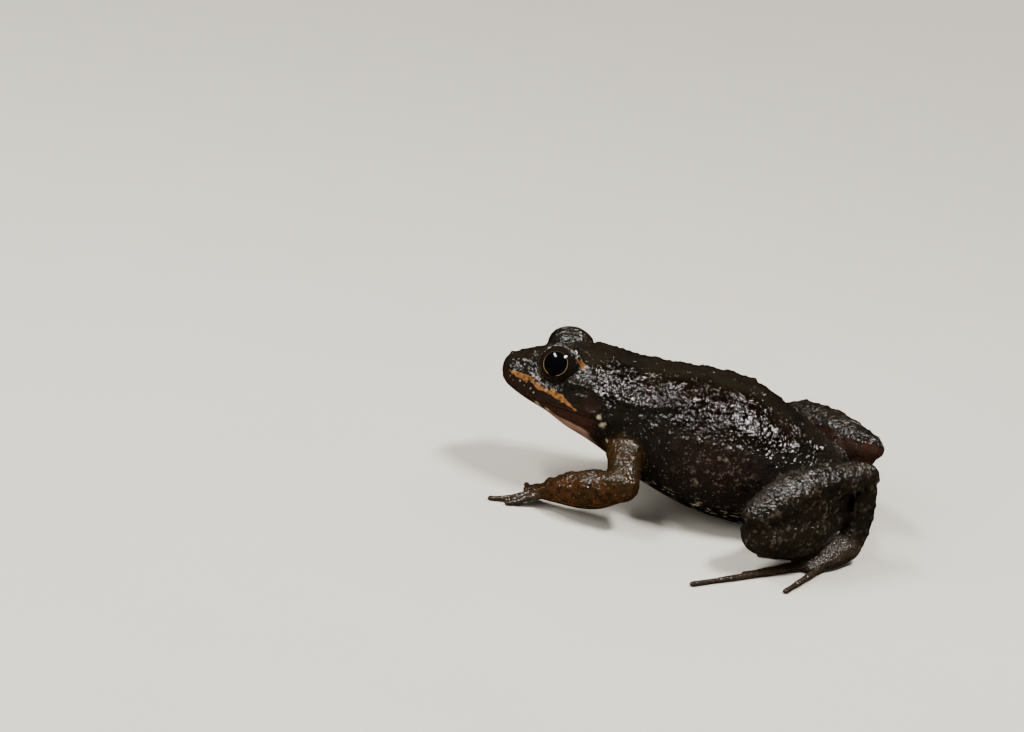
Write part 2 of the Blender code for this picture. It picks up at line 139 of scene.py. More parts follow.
class Tree:
    """The nodes of one finish or one Geometry Nodes group."""

    def __init__(self, tree):
        self.tree = tree

    def node(self, kind, settings=None, values=None, out=0):
        """A node of any kind; its settings come first, then what its sockets take."""
        made = self.tree.nodes.new(kind)
        for name, setting in (settings or {}).items():
            setattr(made, name, setting)
        for name, value in (values or {}).items():
            if isinstance(value, Value):
                self.tree.links.new(value.socket, made.inputs[name])
            else:
                made.inputs[name].default_value = value
        return Value(self, made.outputs[out]) if made.outputs else None

    def mark(self, name):
        """A marking that the skin carries."""
        return self.node("ShaderNodeAttribute", {"attribute_name": name}, out="Fac")

    def mix(self, share, first, second):
        """A blend of two colours."""
        made = self.node("ShaderNodeMix", {"data_type": "RGBA"}, {"Factor": share}, out=2)
        for name, colour in (("A", first), ("B", second)):
            socket = next(s for s in made.socket.node.inputs if s.name == name and s.type == "RGBA")
            if isinstance(colour, Value):
                self.tree.links.new(colour.socket, socket)
            else:
                socket.default_value = (*colour, 1.0)
        return made

    def vector(self, operation, *vectors, out=0):
        """A Vector Math node on places, directions or colours."""
        return self.node("ShaderNodeVectorMath", {"operation": operation}, dict(enumerate(vectors)), out)

    def grain(self, place, size, detail=2.0):
        """Soft noise with features of a size in millimetres."""
        values = {"Vector": place, "Scale": 1.0 / (size * MM), "Detail": detail}
        return self.node("ShaderNodeTexNoise", values=values)

    def cells(self, place, size, feature="F1"):
        """Distance to the nearest of many scattered points, 0 at the point."""
        values = {"Vector": place, "Scale": 1.0 / (size * MM)}
        return self.node("ShaderNodeTexVoronoi", {"feature": feature}, values, out="Distance")


def finish(name, paint):
    """A material whose nodes are laid by paint, which is given the tree and the shader."""
    made = bpy.data.materials.new(name)
    made.use_nodes = True
    shader = made.node_tree.nodes["Principled BSDF"]
    paint(Tree(made.node_tree), shader)
    return made


def feed(tree, shader, **inputs):
    """Links or sets inputs of the shader; an underline in a name stands for a space."""
    for name, value in inputs.items():
        socket = shader.inputs[name.replace("_", " ")]
        if isinstance(value, Value):
            tree.tree.links.new(value.socket, socket)
        else:
            socket.default_value = value


# %% [markdown]
# ## Lights
# Soft boxes stand for a plain studio. The eye of the real frog mirrors bright
# patches from above its shoulder and its brow, so two small boxes hang there,
# and their mirror image breaks up on the grainy wet skin. Two larger boxes and
# the air all round only fill the shade. They aren't mirrored, because the
# mirror image of a pale room would turn the nearly black skin grey.

# %% Four soft boxes and the air
BOXES = {
    # direction to the light, distance, width, depth in metres, watts, seen as a reflection
    "top_box": ((0.12, 0.36, 0.91), 0.34, 0.11, 0.045, 1.8, True),
    "brow_box": ((0.16, -0.50, 0.85), 0.34, 0.15, 0.045, 1.0, True),
    "front_box": ((0.75, -0.70, 0.55), 0.45, 0.30, 0.30, 1.8, False),
    "back_box": ((-0.75, 0.25, 0.62), 0.45, 0.30, 0.22, 0.7, False),
}


FROG_MIDDLE = Vector((0.0, 0.0, 0.006))
AIR_COLOUR, AIR_LIGHT = (1.0, 0.97, 0.92, 1.0), 0.22


def add_light(name, way, distance, width, depth, power, mirrored_in_skin):
    """A soft box that looks at the middle of the frog."""
    data = bpy.data.lights.new(name, "AREA")
    data.shape, data.size, data.size_y = "RECTANGLE", width, depth
    data.energy = power
    lamp = bpy.data.objects.new(name, data)
    lamp.visible_glossy = mirrored_in_skin
    way = Vector(way).normalized()
    turned = way.to_track_quat("Z", "Y").to_matrix().to_4x4()
    lamp.matrix_world = Matrix.Translation(FROG_MIDDLE + way * distance) @ turned
    bpy.context.scene.collection.objects.link(lamp)


for name, settings in BOXES.items():
    add_light(name, *settings)
world = bpy.data.worlds.new("studio")
world.use_nodes = True
air = world.node_tree.nodes["Background"]
air.inputs["Color"].default_value = AIR_COLOUR
air.inputs["Strength"].default_value = AIR_LIGHT
world.cycles_visibility.glossy = False
bpy.context.scene.world = world
print("lights:", ", ".join(BOXES))


# %% [markdown]
# ## The floor
# The floor is a wide, pale, matt sheet. The boxes hang close to the frog, so
# the sheet would turn dark further off. A light of its own, which grows towards
# the edge, keeps it evenly pale.

# %% A pale sheet
FLOOR_SIZE = 1.6
FLOOR_COLOUR = (0.60, 0.56, 0.48)
FLOOR_SHADE = tuple(0.94 * part for part in FLOOR_COLOUR)
FAR_LIGHT = tuple(1.6 * part for part in FLOOR_COLOUR)
FAR_START, FAR_FULL = 0.12, 0.75
CLOUD_SIZE = 18.0


def paint_floor(tree, shader):
    place = tree.node("ShaderNodeTexCoord", out="Object")
    shade = tree.mix(tree.grain(place, CLOUD_SIZE), FLOOR_COLOUR, FLOOR_SHADE)
    away = tree.vector("LENGTH", place, out="Value")
    glow = tree.mix(away.between(FAR_START, FAR_FULL), (0.0, 0.0, 0.0), FAR_LIGHT)
    feed(tree, shader, Base_Color=shade, Roughness=0.85, Emission_Color=glow, Emission_Strength=1.0)


corners = [(x * FLOOR_SIZE, y * FLOOR_SIZE, 0.0) for x, y in ((-1, -1), (1, -1), (1, 1), (-1, 1))]
floor_mesh = bpy.data.meshes.new("floor")
floor_mesh.from_pydata(corners, [], [(0, 1, 2, 3)])
floor = bpy.data.objects.new("floor", floor_mesh)
floor.data.materials.append(finish("pale_floor", paint_floor))
bpy.context.scene.collection.objects.link(floor)
floor.visible_glossy = False
print("floor", 2 * FLOOR_SIZE, "m wide")


# %% [markdown]
# ## Lofting the forms
# A body or a limb is a row of cross-sections along a smooth line. A table gives
# a few stations, a curve runs through them, and rings of points are joined into
# a closed form. It is the quickest way to a round shape whose every width is
# known, and the same stations shaped the solids.

# %% Curves, rings and closed forms
def smooth_rows(rows, count, sizes=3):
    """Reads count rows, evenly spread, from a smooth curve through the given rows."""
    rows = np.array(rows, float)
    gaps = np.linalg.norm(np.diff(rows[:, :sizes], axis=0), axis=1)
    knots = np.concatenate([[0.0], np.cumsum(np.sqrt(gaps))])
    slopes = np.gradient(rows, knots, axis=0)
    dense = np.linspace(0.0, knots[-1], 40 * len(rows))
    piece = np.clip(np.searchsorted(knots, dense, side="right") - 1, 0, len(rows) - 2)
    width = knots[piece + 1] - knots[piece]
    t = ((dense - knots[piece]) / width)[:, None]
    curve = ((1 + 2 * t) * (1 - t) ** 2 * rows[piece]
             + t * (1 - t) ** 2 * width[:, None] * slopes[piece]
             + t * t * (3 - 2 * t) * rows[piece + 1]
             + t * t * (t - 1) * width[:, None] * slopes[piece + 1])
    steps = np.linalg.norm(np.diff(curve[:, :sizes], axis=0), axis=1)
    travelled = np.concatenate([[0.0], np.cumsum(steps)])
    wanted = np.linspace(0.0, travelled[-1], count)
    return np.stack([np.interp(wanted, travelled, column) for column in curve.T], axis=1)


def closed_form(rings, first, last):
    """Points and faces of a closed form through rings, with a pole at each end."""
    sides, count = len(rings[0]), len(rings)
    points = np.concatenate([*rings, [first, last]])
    faces = []
    for ring in range(count - 1):
        base = ring * sides
        for k in range(sides):
            after = (k + 1) % sides
            faces.append((base + k, base + after, base + sides + after, base + sides + k))
    pole, end = count * sides, (count - 1) * sides
    for k in range(sides):
        after = (k + 1) % sides
        faces.append((after, k, pole))
        faces.append((end + k, end + after, pole + 1))
    return points, faces


def limb_form(rows, rings=40, sides=32, up=(0.0, 0.0, 1.0)):
    """A round-ended limb along rows of x, y, z, half width and half height."""
    path = smooth_rows(rows, rings)
    centres, sizes = path[:, :3], path[:, 3:]
    ahead = np.gradient(centres, axis=0)
    ahead /= np.linalg.norm(ahead, axis=1)[:, None]
    stations = list(zip(centres, ahead, sizes))
    for end, sign in ((0, -1.0), (-1, 1.0)):
        caps = []
        for turn in np.radians(np.arange(12.0, 90.0, 13.0)):
            reach = sign * sizes[end].mean() * math.sin(turn)
            caps.append((centres[end] + ahead[end] * reach, ahead[end], sizes[end] * math.cos(turn)))
        stations = caps[::-1] + stations if end == 0 else stations + caps
    turns = np.linspace(0.0, 2 * math.pi, sides, endpoint=False)
    loops = []
    for centre, way, (wide, high) in stations:
        across = np.cross(up, way)
        across /= np.linalg.norm(across)
        over = np.cross(way, across)
        loops.append(centre + np.outer(np.cos(turns) * wide, across) + np.outer(np.sin(turns) * high, over))
    poles = [centres[end] + sign * ahead[end] * sizes[end].mean() for end, sign in ((0, -1.0), (-1, 1.0))]
    return closed_form(loops, *poles)


print("a limb form has", len(limb_form([(0, 0, 0, 1, 1), (2, 0, 0, 1, 1)])[1]), "faces")


# %% [markdown]
# ## The body's stations
# Head and trunk are one form. Each station gives the distance behind the
# snout, half the width, the top, the height of the widest place, the bottom,
# and how full the section is above and below.

# %% The body
BODY_STATIONS = [
    (0.12, 0.05, 9.95, 9.85, 9.75, 2.0, 2.0),
    (0.24, 1.05, 10.45, 9.70, 9.00, 2.0, 2.0),
    (0.70, 1.85, 10.90, 9.50, 8.40, 2.0, 2.0),
    (1.70, 2.85, 11.40, 9.30, 7.95, 1.9, 2.0),
    (3.20, 3.90, 12.00, 9.15, 7.45, 1.9, 2.0),
    (5.00, 4.80, 12.60, 9.05, 6.95, 1.9, 2.1),
    (7.00, 5.45, 13.00, 8.90, 5.95, 2.0, 2.2),
    (9.00, 5.85, 13.30, 8.60, 5.20, 2.1, 2.2),
    (11.0, 5.75, 13.10, 8.10, 4.15, 2.1, 2.2),
    (13.5, 6.00, 13.00, 7.60, 2.60, 2.1, 2.1),
    (16.5, 6.80, 13.05, 7.00, 1.40, 2.1, 2.0),
    (19.5, 7.35, 13.10, 6.70, 0.55, 2.1, 2.0),
    (22.0, 7.30, 12.95, 6.50, 0.05, 2.1, 1.85),
    (24.0, 6.90, 12.25, 6.30, -0.15, 2.1, 1.75),
    (26.0, 6.20, 11.25, 6.00, 0.05, 2.1, 1.9),
    (28.0, 5.30, 10.30, 5.90, 1.00, 2.1, 2.1),
    (30.0, 4.10, 9.20, 5.80, 2.40, 2.0, 2.0),
    (31.8, 2.60, 7.50, 5.70, 4.00, 2.0, 2.0),
    (32.8, 1.20, 6.40, 5.60, 4.90, 2.0, 2.0),
    (33.1, 0.05, 5.65, 5.60, 5.55, 2.0, 2.0),
]
BODY_ROWS = smooth_rows(BODY_STATIONS, 400, sizes=4)


def signed_power(value, power):
    """A power that keeps the sign."""
    return np.sign(value) * np.abs(value) ** power


def body_form(rings=170, sides=112):
    """Head and trunk as one closed form."""
    turns = np.linspace(0.0, 2 * math.pi, sides, endpoint=False)
    across, rise = np.cos(turns), np.sin(turns)
    loops = []
    for y, half, top, wide, bottom, above, below in smooth_rows(BODY_ROWS, rings, sizes=4):
        power = np.where(rise >= 0, 2.0 / above, 2.0 / below)
        height = np.where(rise >= 0, top - wide, wide - bottom)
        x = half * signed_power(across, power)
        z = wide + height * signed_power(rise, power)
        loops.append(np.stack([x, np.full(sides, y), z], axis=1))
    loops = [loop[::-1] for loop in loops]
    front, back = BODY_STATIONS[0], BODY_STATIONS[-1]
    return closed_form(loops, (0.0, front[0] - 0.01, front[3]), (0.0, back[0] + 0.01, back[3]))


def body_surface(y, z):
    """The left skin's point at a distance behind the snout and a height."""
    columns = BODY_ROWS.T[1:]
    half, top, wide, bottom, above, below = (np.interp(y, BODY_ROWS[:, 0], column) for column in columns)
    reach, full = (top - wide, above) if z >= wide else (wide - bottom, below)
    level = min(abs(z - wide) / reach, 1.0)
    return np.array([half * (1.0 - level ** full) ** (1.0 / full), y, z])


print("the body runs from", BODY_STATIONS[0][0], "to", BODY_STATIONS[-1][0], "mm")


# %% [markdown]
# ## The limbs
# Each bone's flesh is a row of x, y, z, half width and half height. The left
# and right limbs differ, because the frog doesn't sit quite evenly. A soft
# fold of flesh fills the crease where the shank lies against the thigh.
# Fingers and toes swell at their joints and end in a plain round tip.

# %% Rows of the limbs
UPPER_ARM = {
    "left": [(4.6, 12.6, 6.2, 1.6, 1.65), (6.9, 13.1, 5.3, 1.5, 1.55), (9.2, 13.4, 4.2, 1.5, 1.5)],
    "right": [(4.6, 12.8, 6.2, 1.6, 1.65), (7.0, 15.6, 5.1, 1.5, 1.55), (9.4, 18.2, 3.8, 1.5, 1.5)],
}
FOREARM = {
    "left": [(9.2, 13.1, 4.0, 1.4, 1.4), (8.9, 11.2, 3.2, 1.6, 1.75), (8.2, 9.0, 2.45, 1.5, 1.55),
             (7.6, 7.4, 1.8, 1.1, 1.1)],
    "right": [(9.4, 17.9, 3.7, 1.4, 1.4), (10.3, 16.2, 2.9, 1.6, 1.75), (11.2, 14.6, 2.3, 1.5, 1.55),
              (11.8, 13.4, 1.75, 1.1, 1.1)],
}
PALM = {
    "left": [(7.5, 7.3, 1.55, 1.0, 0.85), (7.2, 6.1, 1.3, 1.15, 0.6), (7.1, 5.3, 1.1, 0.9, 0.45)],
    "right": [(11.8, 13.3, 1.55, 1.0, 0.85), (12.4, 12.3, 1.3, 1.15, 0.6), (12.8, 11.6, 1.1, 0.9, 0.45)],
}
FINGER_TIPS = {
    "left": [(3.3, 6.2), (3.6, 4.5), (8.7, 2.0), (9.0, 3.6)],
    "right": [(11.5, 10.7), (12.9, 9.4), (14.4, 8.8), (15.3, 10.6)],
}
THIGH = [(3.1, 31.0, 4.9, 2.4, 2.4), (6.5, 30.1, 4.2, 2.85, 2.85), (9.8, 28.3, 3.8, 2.7, 2.7),
         (12.2, 26.35, 3.8, 1.95, 1.95)]
THIGH_FOLD = [(12.3, 26.6, 4.8, 1.4, 1.4), (10.5, 28.5, 5.75, 1.75, 1.75), (8.3, 30.4, 6.15, 1.75, 1.75),
              (6.5, 31.8, 6.35, 1.25, 1.25)]
SHANK = {
    "left": [(12.9, 25.7, 5.6, 1.5, 1.5), (11.5, 27.4, 6.9, 1.85, 1.85), (8.9, 29.8, 7.75, 1.85, 1.85),
             (6.2, 32.4, 8.05, 1.5, 1.5), (4.4, 34.2, 8.1, 1.2, 1.2)],
    "right": [(12.8, 25.9, 4.75, 1.9, 1.9), (11.3, 27.4, 6.0, 2.3, 2.3), (8.7, 29.8, 6.95, 2.25, 2.25),
              (6.2, 32.3, 7.3, 1.95, 1.95), (4.4, 34.1, 7.7, 1.35, 1.35)],
}
TARSUS = {
    "left": [(4.4, 34.2, 7.8, 1.0, 1.0), (4.5, 34.4, 5.2, 1.25, 1.2), (4.8, 34.2, 2.8, 1.35, 1.25),
             (5.1, 33.9, 1.4, 1.25, 1.2)],
    "right": [(4.4, 34.1, 7.6, 1.0, 1.0), (4.8, 33.6, 5.2, 1.15, 1.05), (5.4, 32.8, 2.6, 1.2, 1.1),
              (5.9, 32.3, 1.3, 1.15, 1.05)],
}
FOOT = {
    "left": [(5.4, 33.6, 1.4, 1.3, 1.35), (7.2, 32.1, 1.0, 1.5, 1.1), (8.8, 30.5, 0.55, 1.5, 0.65)],
    "right": [(6.2, 32.0, 1.15, 1.15, 1.1), (8.0, 30.3, 0.9, 1.45, 0.95), (9.6, 28.7, 0.55, 1.5, 0.65)],
}
TOE_LENGTHS = (2.6, 4.0, 7.2, 13.2, 6.9)
TOE_TURNS = (50.0, 30.0, 1.0, 1.0, -22.0)
TOE_ROOTS = ((-1.45, 2.1), (-1.25, 0.9), (-0.12, 0.3), (0.4, 0.1), (1.15, 0.9))
FOOT_HEADING = math.radians(-45.0)
FINGER_SPREAD = 0.62
DIGIT_RADIUS, DIGIT_LEVEL = 0.31, 0.22
# share of the length, thickness, rise off the floor
DIGIT_SHAPE = ((0.0, 1.15, 1.0), (0.2, 1.02, 0.9), (0.36, 1.08, 0.7), (0.5, 0.92, 0.45), (0.64, 1.0, 0.2),
               (0.8, 0.84, 0.08), (0.93, 0.86, 0.0), (1.0, 0.9, 0.0))
FINGER_RISE, TOE_RISE = 0.8, 0.22


def mirrored(rows, side):
    """Rows on the left side, moved to the wanted side."""
    return [(SIDES[side] * row[0], *row[1:]) for row in rows]


def digit_rows(root, tip, lift):
    """The rows of a finger or toe whose tip lies on the floor and whose root is lifted."""
    root, tip = np.array(root), np.array(tip)
    rows = []
    for share, thick, rise in DIGIT_SHAPE:
        x, y = root + (tip - root) * share
        rows.append((x, y, DIGIT_LEVEL + rise * lift, DIGIT_RADIUS * thick, DIGIT_RADIUS * thick))
    return rows


def finger_rows(side):
    """The four fingers of a hand, innermost first."""
    middle, front = (np.array(row[:2]) for row in PALM[side][1:])
    ahead = (front - middle) / np.linalg.norm(front - middle)
    outward = np.array([-ahead[1], ahead[0]])
    roots = [middle + outward * (k - 1.5) * FINGER_SPREAD for k in range(len(FINGER_TIPS[side]))]
    return [mirrored(digit_rows(root, tip, FINGER_RISE), side) for root, tip in zip(roots, FINGER_TIPS[side])]


def toe_rows(side):
    """The five toes of a foot, innermost first."""
    ahead = np.array([math.cos(FOOT_HEADING), math.sin(FOOT_HEADING)])
    outward = np.array([-ahead[1], ahead[0]])
    rows = []
    for length, turn, (across, back) in zip(TOE_LENGTHS, np.radians(TOE_TURNS), TOE_ROOTS):
        root = np.array(FOOT[side][-1][:2]) + outward * across - ahead * back
        tip = root + length * (ahead * math.cos(turn) - outward * math.sin(turn))
        rows.append(mirrored(digit_rows(root, tip, TOE_RISE), side))
    return rows


LIMBS = {"arm": [], "thigh": [], "shank": [], "foot": [], "digit": []}
for side in SIDES:
    LIMBS["arm"] += [mirrored(rows[side], side) for rows in (UPPER_ARM, FOREARM, PALM)]
    LIMBS["thigh"] += [mirrored(rows, side) for rows in (THIGH, THIGH_FOLD)]
    LIMBS["shank"] += [mirrored(rows[side], side) for rows in (SHANK, TARSUS)]
    LIMBS["foot"].append(mirrored(FOOT[side], side))
    LIMBS["digit"] += [*finger_rows(side), *toe_rows(side)]
print({name: len(rows) for name, rows in LIMBS.items()}, "limb forms")


# %% [markdown]
# ## One skin
# The forms overlap at their roots. A voxel remesh, as in digital clay, lays
# one even net of small faces over them all, without a seam. A little smoothing
# softens the creases where limbs meet the body, and whatever reaches below the
# floor is pressed flat on it.

# %% Fuse the forms
VOXEL, SOFTENED = 0.125, 4
LID_SHIFT = np.array([0.0, 0.2, 0.0])
LID_REACH = np.array([2.12, 2.2, 1.95])


def ball_form(centre, reach, sides=40):
    """A closed oval ball."""
    turns = np.linspace(0.0, 2 * math.pi, sides, endpoint=False)
    loops = []
    for level in np.linspace(-math.pi / 2, math.pi / 2, sides // 2 + 2)[1:-1]:
        ring = np.stack([np.cos(turns) * math.cos(level), np.sin(turns) * math.cos(level),
                         np.full(sides, math.sin(level))], axis=1)
        loops.append(centre + ring * reach)
    poles = [centre + np.array([0.0, 0.0, sign]) * reach for sign in (-1.0, 1.0)]
    return closed_form(loops, *poles)


def all_forms():
    """The body, the lids and every limb."""
    forms = [body_form()]
    for sign in SIDES.values():
        centre = (EYE_CENTRE + LID_SHIFT) * (sign, 1.0, 1.0)
        forms.append(ball_form(centre, LID_REACH))
    for name, limbs in LIMBS.items():
        for rows in limbs:
            upright = name == "shank" and abs(rows[0][2] - rows[-1][2]) > 4.0
            forms.append(limb_form(rows, up=(0.0, 1.0, 0.0) if upright else (0.0, 0.0, 1.0)))
    return forms


def mesh_object(name, points, faces):
    """An object whose mesh has these points, in millimetres behind the snout."""
    mesh = bpy.data.meshes.new(name)
    mesh.from_pydata(np.asarray(points).tolist(), [], faces)
    made = bpy.data.objects.new(name, mesh)
    bpy.context.scene.collection.objects.link(made)
    return made


def applied(item):
    """The object with its modifiers worked into a plain mesh."""
    bpy.context.view_layer.update()
    graph = bpy.context.evaluated_depsgraph_get()
    mesh = bpy.data.meshes.new_from_object(item.evaluated_get(graph))
    item.modifiers.clear()
    old, item.data = item.data, mesh
    bpy.data.meshes.remove(old)
    return item


def read_rows(items, name):
    """A value of three numbers that each item has, as an array."""
    values = np.empty(len(items) * 3)
    items.foreach_get(name, values)
    return values.reshape(-1, 3)


def write_points(mesh, points):
    """Puts the mesh's points where the array says."""
    mesh.vertices.foreach_set("co", np.asarray(points, float).ravel())
    mesh.update()


def smoothed(mesh, points, times, strength=0.5):
    """Points moved towards the middle of their neighbours."""
    edges = np.empty(len(mesh.edges) * 2, int)
    mesh.edges.foreach_get("vertices", edges)
    starts, ends = edges.reshape(-1, 2).T
    count = np.bincount(edges, minlength=len(points))[:, None]
    for _ in range(times):
        total = np.zeros_like(points)
        for axis in range(3):
            total[:, axis] += np.bincount(starts, points[ends, axis], len(points))
            total[:, axis] += np.bincount(ends, points[starts, axis], len(points))
        points = points + (total / count - points) * strength
    return points


forms = all_forms()
every_point, every_face, start = [], [], 0
for points, faces in forms:
    every_point.append(points)
    every_face += [tuple(corner + start for corner in face) for face in faces]
    start += len(points)
skin = mesh_object("skin", np.concatenate(every_point), every_face)
fuse = skin.modifiers.new("fuse", "REMESH")
fuse.mode, fuse.voxel_size, fuse.adaptivity = "VOXEL", VOXEL, 0.0
skin = applied(skin)
points = smoothed(skin.data, read_rows(skin.data.vertices, "co"), SOFTENED)
points[:, 2] = np.maximum(points[:, 2], 0.0)
write_points(skin.data, points)
print("one skin with", len(skin.data.polygons), "faces")


# %% [markdown]
# ## The head's fine forms
# The skin round an eye is drawn in under the ball and stands up as a rim, so
# the lids hug the eye. The upper lid droops at its back corner. The line of the
# mouth is a groove under an upper lip that stands a little proud. Nostrils are
# small pits with a rim, the eardrum is a ring round a shallow dish, and folds
# of skin run behind the eye. Each is a small move along the skin's own way
# out, worked out from the distance to a named point or line, on both sides
# alike.

# %% Places and lines of the head
EYE_RADIUS = 1.8
EYE_GAZE = np.array([0.93, -0.18, 0.38]) / np.linalg.norm((0.93, -0.18, 0.38))
LID_GAZE = np.array([0.93, -0.05, 0.27]) / np.linalg.norm((0.93, -0.05, 0.27))
LID_EDGE = math.radians(79.0)
LID_STEP = math.radians(8.0)
LID_CORNER = np.array([0.0, 0.75, 0.66])
LID_DROOP = math.radians(13.0)
UNDER_LID, LID_PROUD = 1.42, 0.13
# angle from the way the lids face and width in degrees, depth
LID_CREASES = [(94.0, 5.0, 0.11), (108.0, 4.0, 0.07)]
# distance behind the snout and height
MOUTH_LINE = [(0.0, 9.35), (0.75, 9.15), (1.5, 8.92), (2.1, 8.78), (2.7, 8.7), (3.6, 8.62),
              (5.0, 8.62), (7.0, 8.64), (9.5, 8.52)]
NOSTRIL = np.array([1.32, 1.31, 10.86])
EARDRUM = body_surface(9.2, 9.9)
EARDRUM_RADIUS = 0.8
EYE_FOLD = [(4.75, 6.9, 10.9), (5.0, 7.9, 11.1), (5.2, 9.0, 11.0), (5.5, 10.0, 10.3), (5.75, 10.9, 9.0),
            (5.7, 11.6, 7.6)]
BACK_FOLD = [(5.1, 10.0, 10.75), (5.15, 11.4, 10.6), (5.2, 12.7, 10.5), (5.25, 14.0, 10.55),
             (5.2, 16.0, 10.9), (4.9, 18.5, 11.4), (4.7, 21.5, 11.2)]
SNOUT_RIDGE = [(1.35, 1.5, 11.0), (1.75, 2.2, 11.2), (2.0, 3.0, 11.5), (2.1, 3.6, 11.75)]
LIP_RIDGE = [(2.3, 1.55, 10.3), (2.85, 2.3, 10.4), (3.3, 3.0, 10.5), (3.7, 3.6, 10.3), (4.3, 4.6, 10.15)]
# line, rise, width of each fold and ridge
FOLDS = [(EYE_FOLD, 0.26, 0.3), (BACK_FOLD, 0.20, 0.4), (SNOUT_RIDGE, 0.16, 0.32), (LIP_RIDGE, 0.08, 0.22)]
print("eardrum at", np.round(EARDRUM, 2).tolist(), "mm")

# %% Moves on the head


def eased(value, low, high):
    """A soft step from 0 at low to 1 at high."""
    share = np.clip((value - low) / (high - low), 0.0, 1.0)
    return share * share * (3.0 - 2.0 * share)


def bump(distance, width):
    """A round hump as wide as this on each side."""
    return np.exp(-(distance / width) ** 2)


def away_from(points, place):
    """How far each point is from a place."""
    return np.linalg.norm(points - place, axis=1)


def distance_to(points, line):
    """How far each point is from a smooth line through a few places."""
    nearest = np.full(len(points), np.inf)
    for place in smooth_rows(line, 12 * len(line)):
        nearest = np.minimum(nearest, away_from(points, place))
    return nearest


def above_mouth(folded):
    """How far each point lies above the line of the mouth."""
    return folded[:, 2] - np.interp(folded[:, 1], *zip(*MOUTH_LINE))


def head_moves(folded):
    """How far the skin stands out, in millimetres, for the folds of the head."""
    mouth = above_mouth(folded)
    jaw = 1.0 - eased(folded[:, 1], 9.0, 10.2)
    out = -0.22 * bump(mouth, 0.11) * jaw
    out += 0.10 * bump(mouth - 0.36, 0.26) * jaw * eased(folded[:, 1], 0.3, 1.6)
    out -= 0.06 * bump(mouth + 0.3, 0.25) * jaw
    pit = away_from(folded, NOSTRIL)
    out += 0.06 * bump(pit - 0.28, 0.12) - 0.3 * bump(pit, 0.15)
    drum = away_from(folded, EARDRUM)
    out += 0.06 * bump(drum - EARDRUM_RADIUS, 0.14)
    out -= 0.07 * (1.0 - eased(drum, 0.2, EARDRUM_RADIUS)) - 0.03 * bump(drum, 0.22)
    for line, rise, width in FOLDS:
        out += rise * bump(distance_to(folded, line), width)
    return out


def draw_lids(folded):
    """The skin drawn in under the eyeball, and how strongly each point is the lids' pale edge, which carries
    a painted highlight on the lower rim.
    """
    way = folded - EYE_CENTRE
    reach = np.linalg.norm(way, axis=1)
    turn = np.arccos(np.clip(way @ LID_GAZE / reach, -1.0, 1.0))
    near = 1.0 - eased(reach, 2.35, 2.7)
    edge = LID_EDGE - LID_DROOP * eased(way @ LID_CORNER / reach, 0.5, 1.0)
    inside = (1.0 - eased(turn, edge - LID_STEP, edge)) * near
    target = reach * (1.0 - inside) + UNDER_LID * inside
    rim = bump(turn - edge - math.radians(3.0), math.radians(5.0)) * near
    target = target * (1.0 - rim) + (EYE_RADIUS + LID_PROUD) * rim
    for place, width, depth in LID_CREASES:
        target -= depth * bump(turn - math.radians(place), math.radians(width)) * near
    # the pale edge grows stronger on the lower lid, which faces down into shade: the lid's own pale rim plus
    # a painted highlight
    below = eased(-way[:, 2] / reach, -0.6, 0.5)
    lid_edge_and_sheen = bump(turn - edge - 0.04, 0.045) * near * (0.4 + 0.6 * below)
    return EYE_CENTRE + way * (target / reach)[:, None], lid_edge_and_sheen


def side_signs(points):
    """Factors that fold the right side onto the left one, or back again."""
    return np.where(points[:, :1] < 0, -1.0, 1.0) * (1.0, 0.0, 0.0) + (0.0, 1.0, 1.0)


points = read_rows(skin.data.vertices, "co")
signs = side_signs(points)
points += read_rows(skin.data.vertex_normals, "vector") * head_moves(points * signs)[:, None]
lidded = draw_lids(points * signs)[0]
points = lidded * signs
write_points(skin.data, points)
print("lids, lips, nostrils and folds drawn on", len(points), "points")


# %% [markdown]
# ## Warts
# The real skin is sown with low round warts, thick on the back and legs and
# absent on lips, lids, eardrums, belly and digits. Geometry Nodes scatter
# points over the skin, measure how far each place on it is from the nearest
# point, and lift it there in a soft dome. The same group runs three times: for
# broad swellings along the back, a few large warts, and the many small ones.

# %% A group that raises warts
WARTS = {
    # spacing, reach, height, seed
    "broad": (2.3, 0.95, 0.15, 7),
    "large": (1.25, 0.40, 0.11, 3),
    "small": (0.50, 0.22, 0.04, 11),
}
MOST_WARTS = 40.0


def limb_ratio(points, names):
    """Distance from the middle of the nearest named limb, 1 on its skin."""
    nearest = np.full(len(points), 9.0)
    for name in names:
        for rows in LIMBS[name]:
            path = smooth_rows(rows, 20)
            low, high = path[:, :3].min(axis=0) - 4.0, path[:, :3].max(axis=0) + 4.0
            close = np.nonzero(((points > low) & (points < high)).all(axis=1))[0]
            for row in path:
                ratio = away_from(points[close], row[:3]) / row[3:].mean()
                nearest[close] = np.minimum(nearest[close], ratio)
    return nearest


def set_mark(mesh, name, values):
    """Stores one number a point for a finish or a node to read."""
    mark = mesh.attributes.get(name) or mesh.attributes.new(name, "FLOAT", "POINT")
    mark.data.foreach_set("value", np.asarray(values, np.float32))


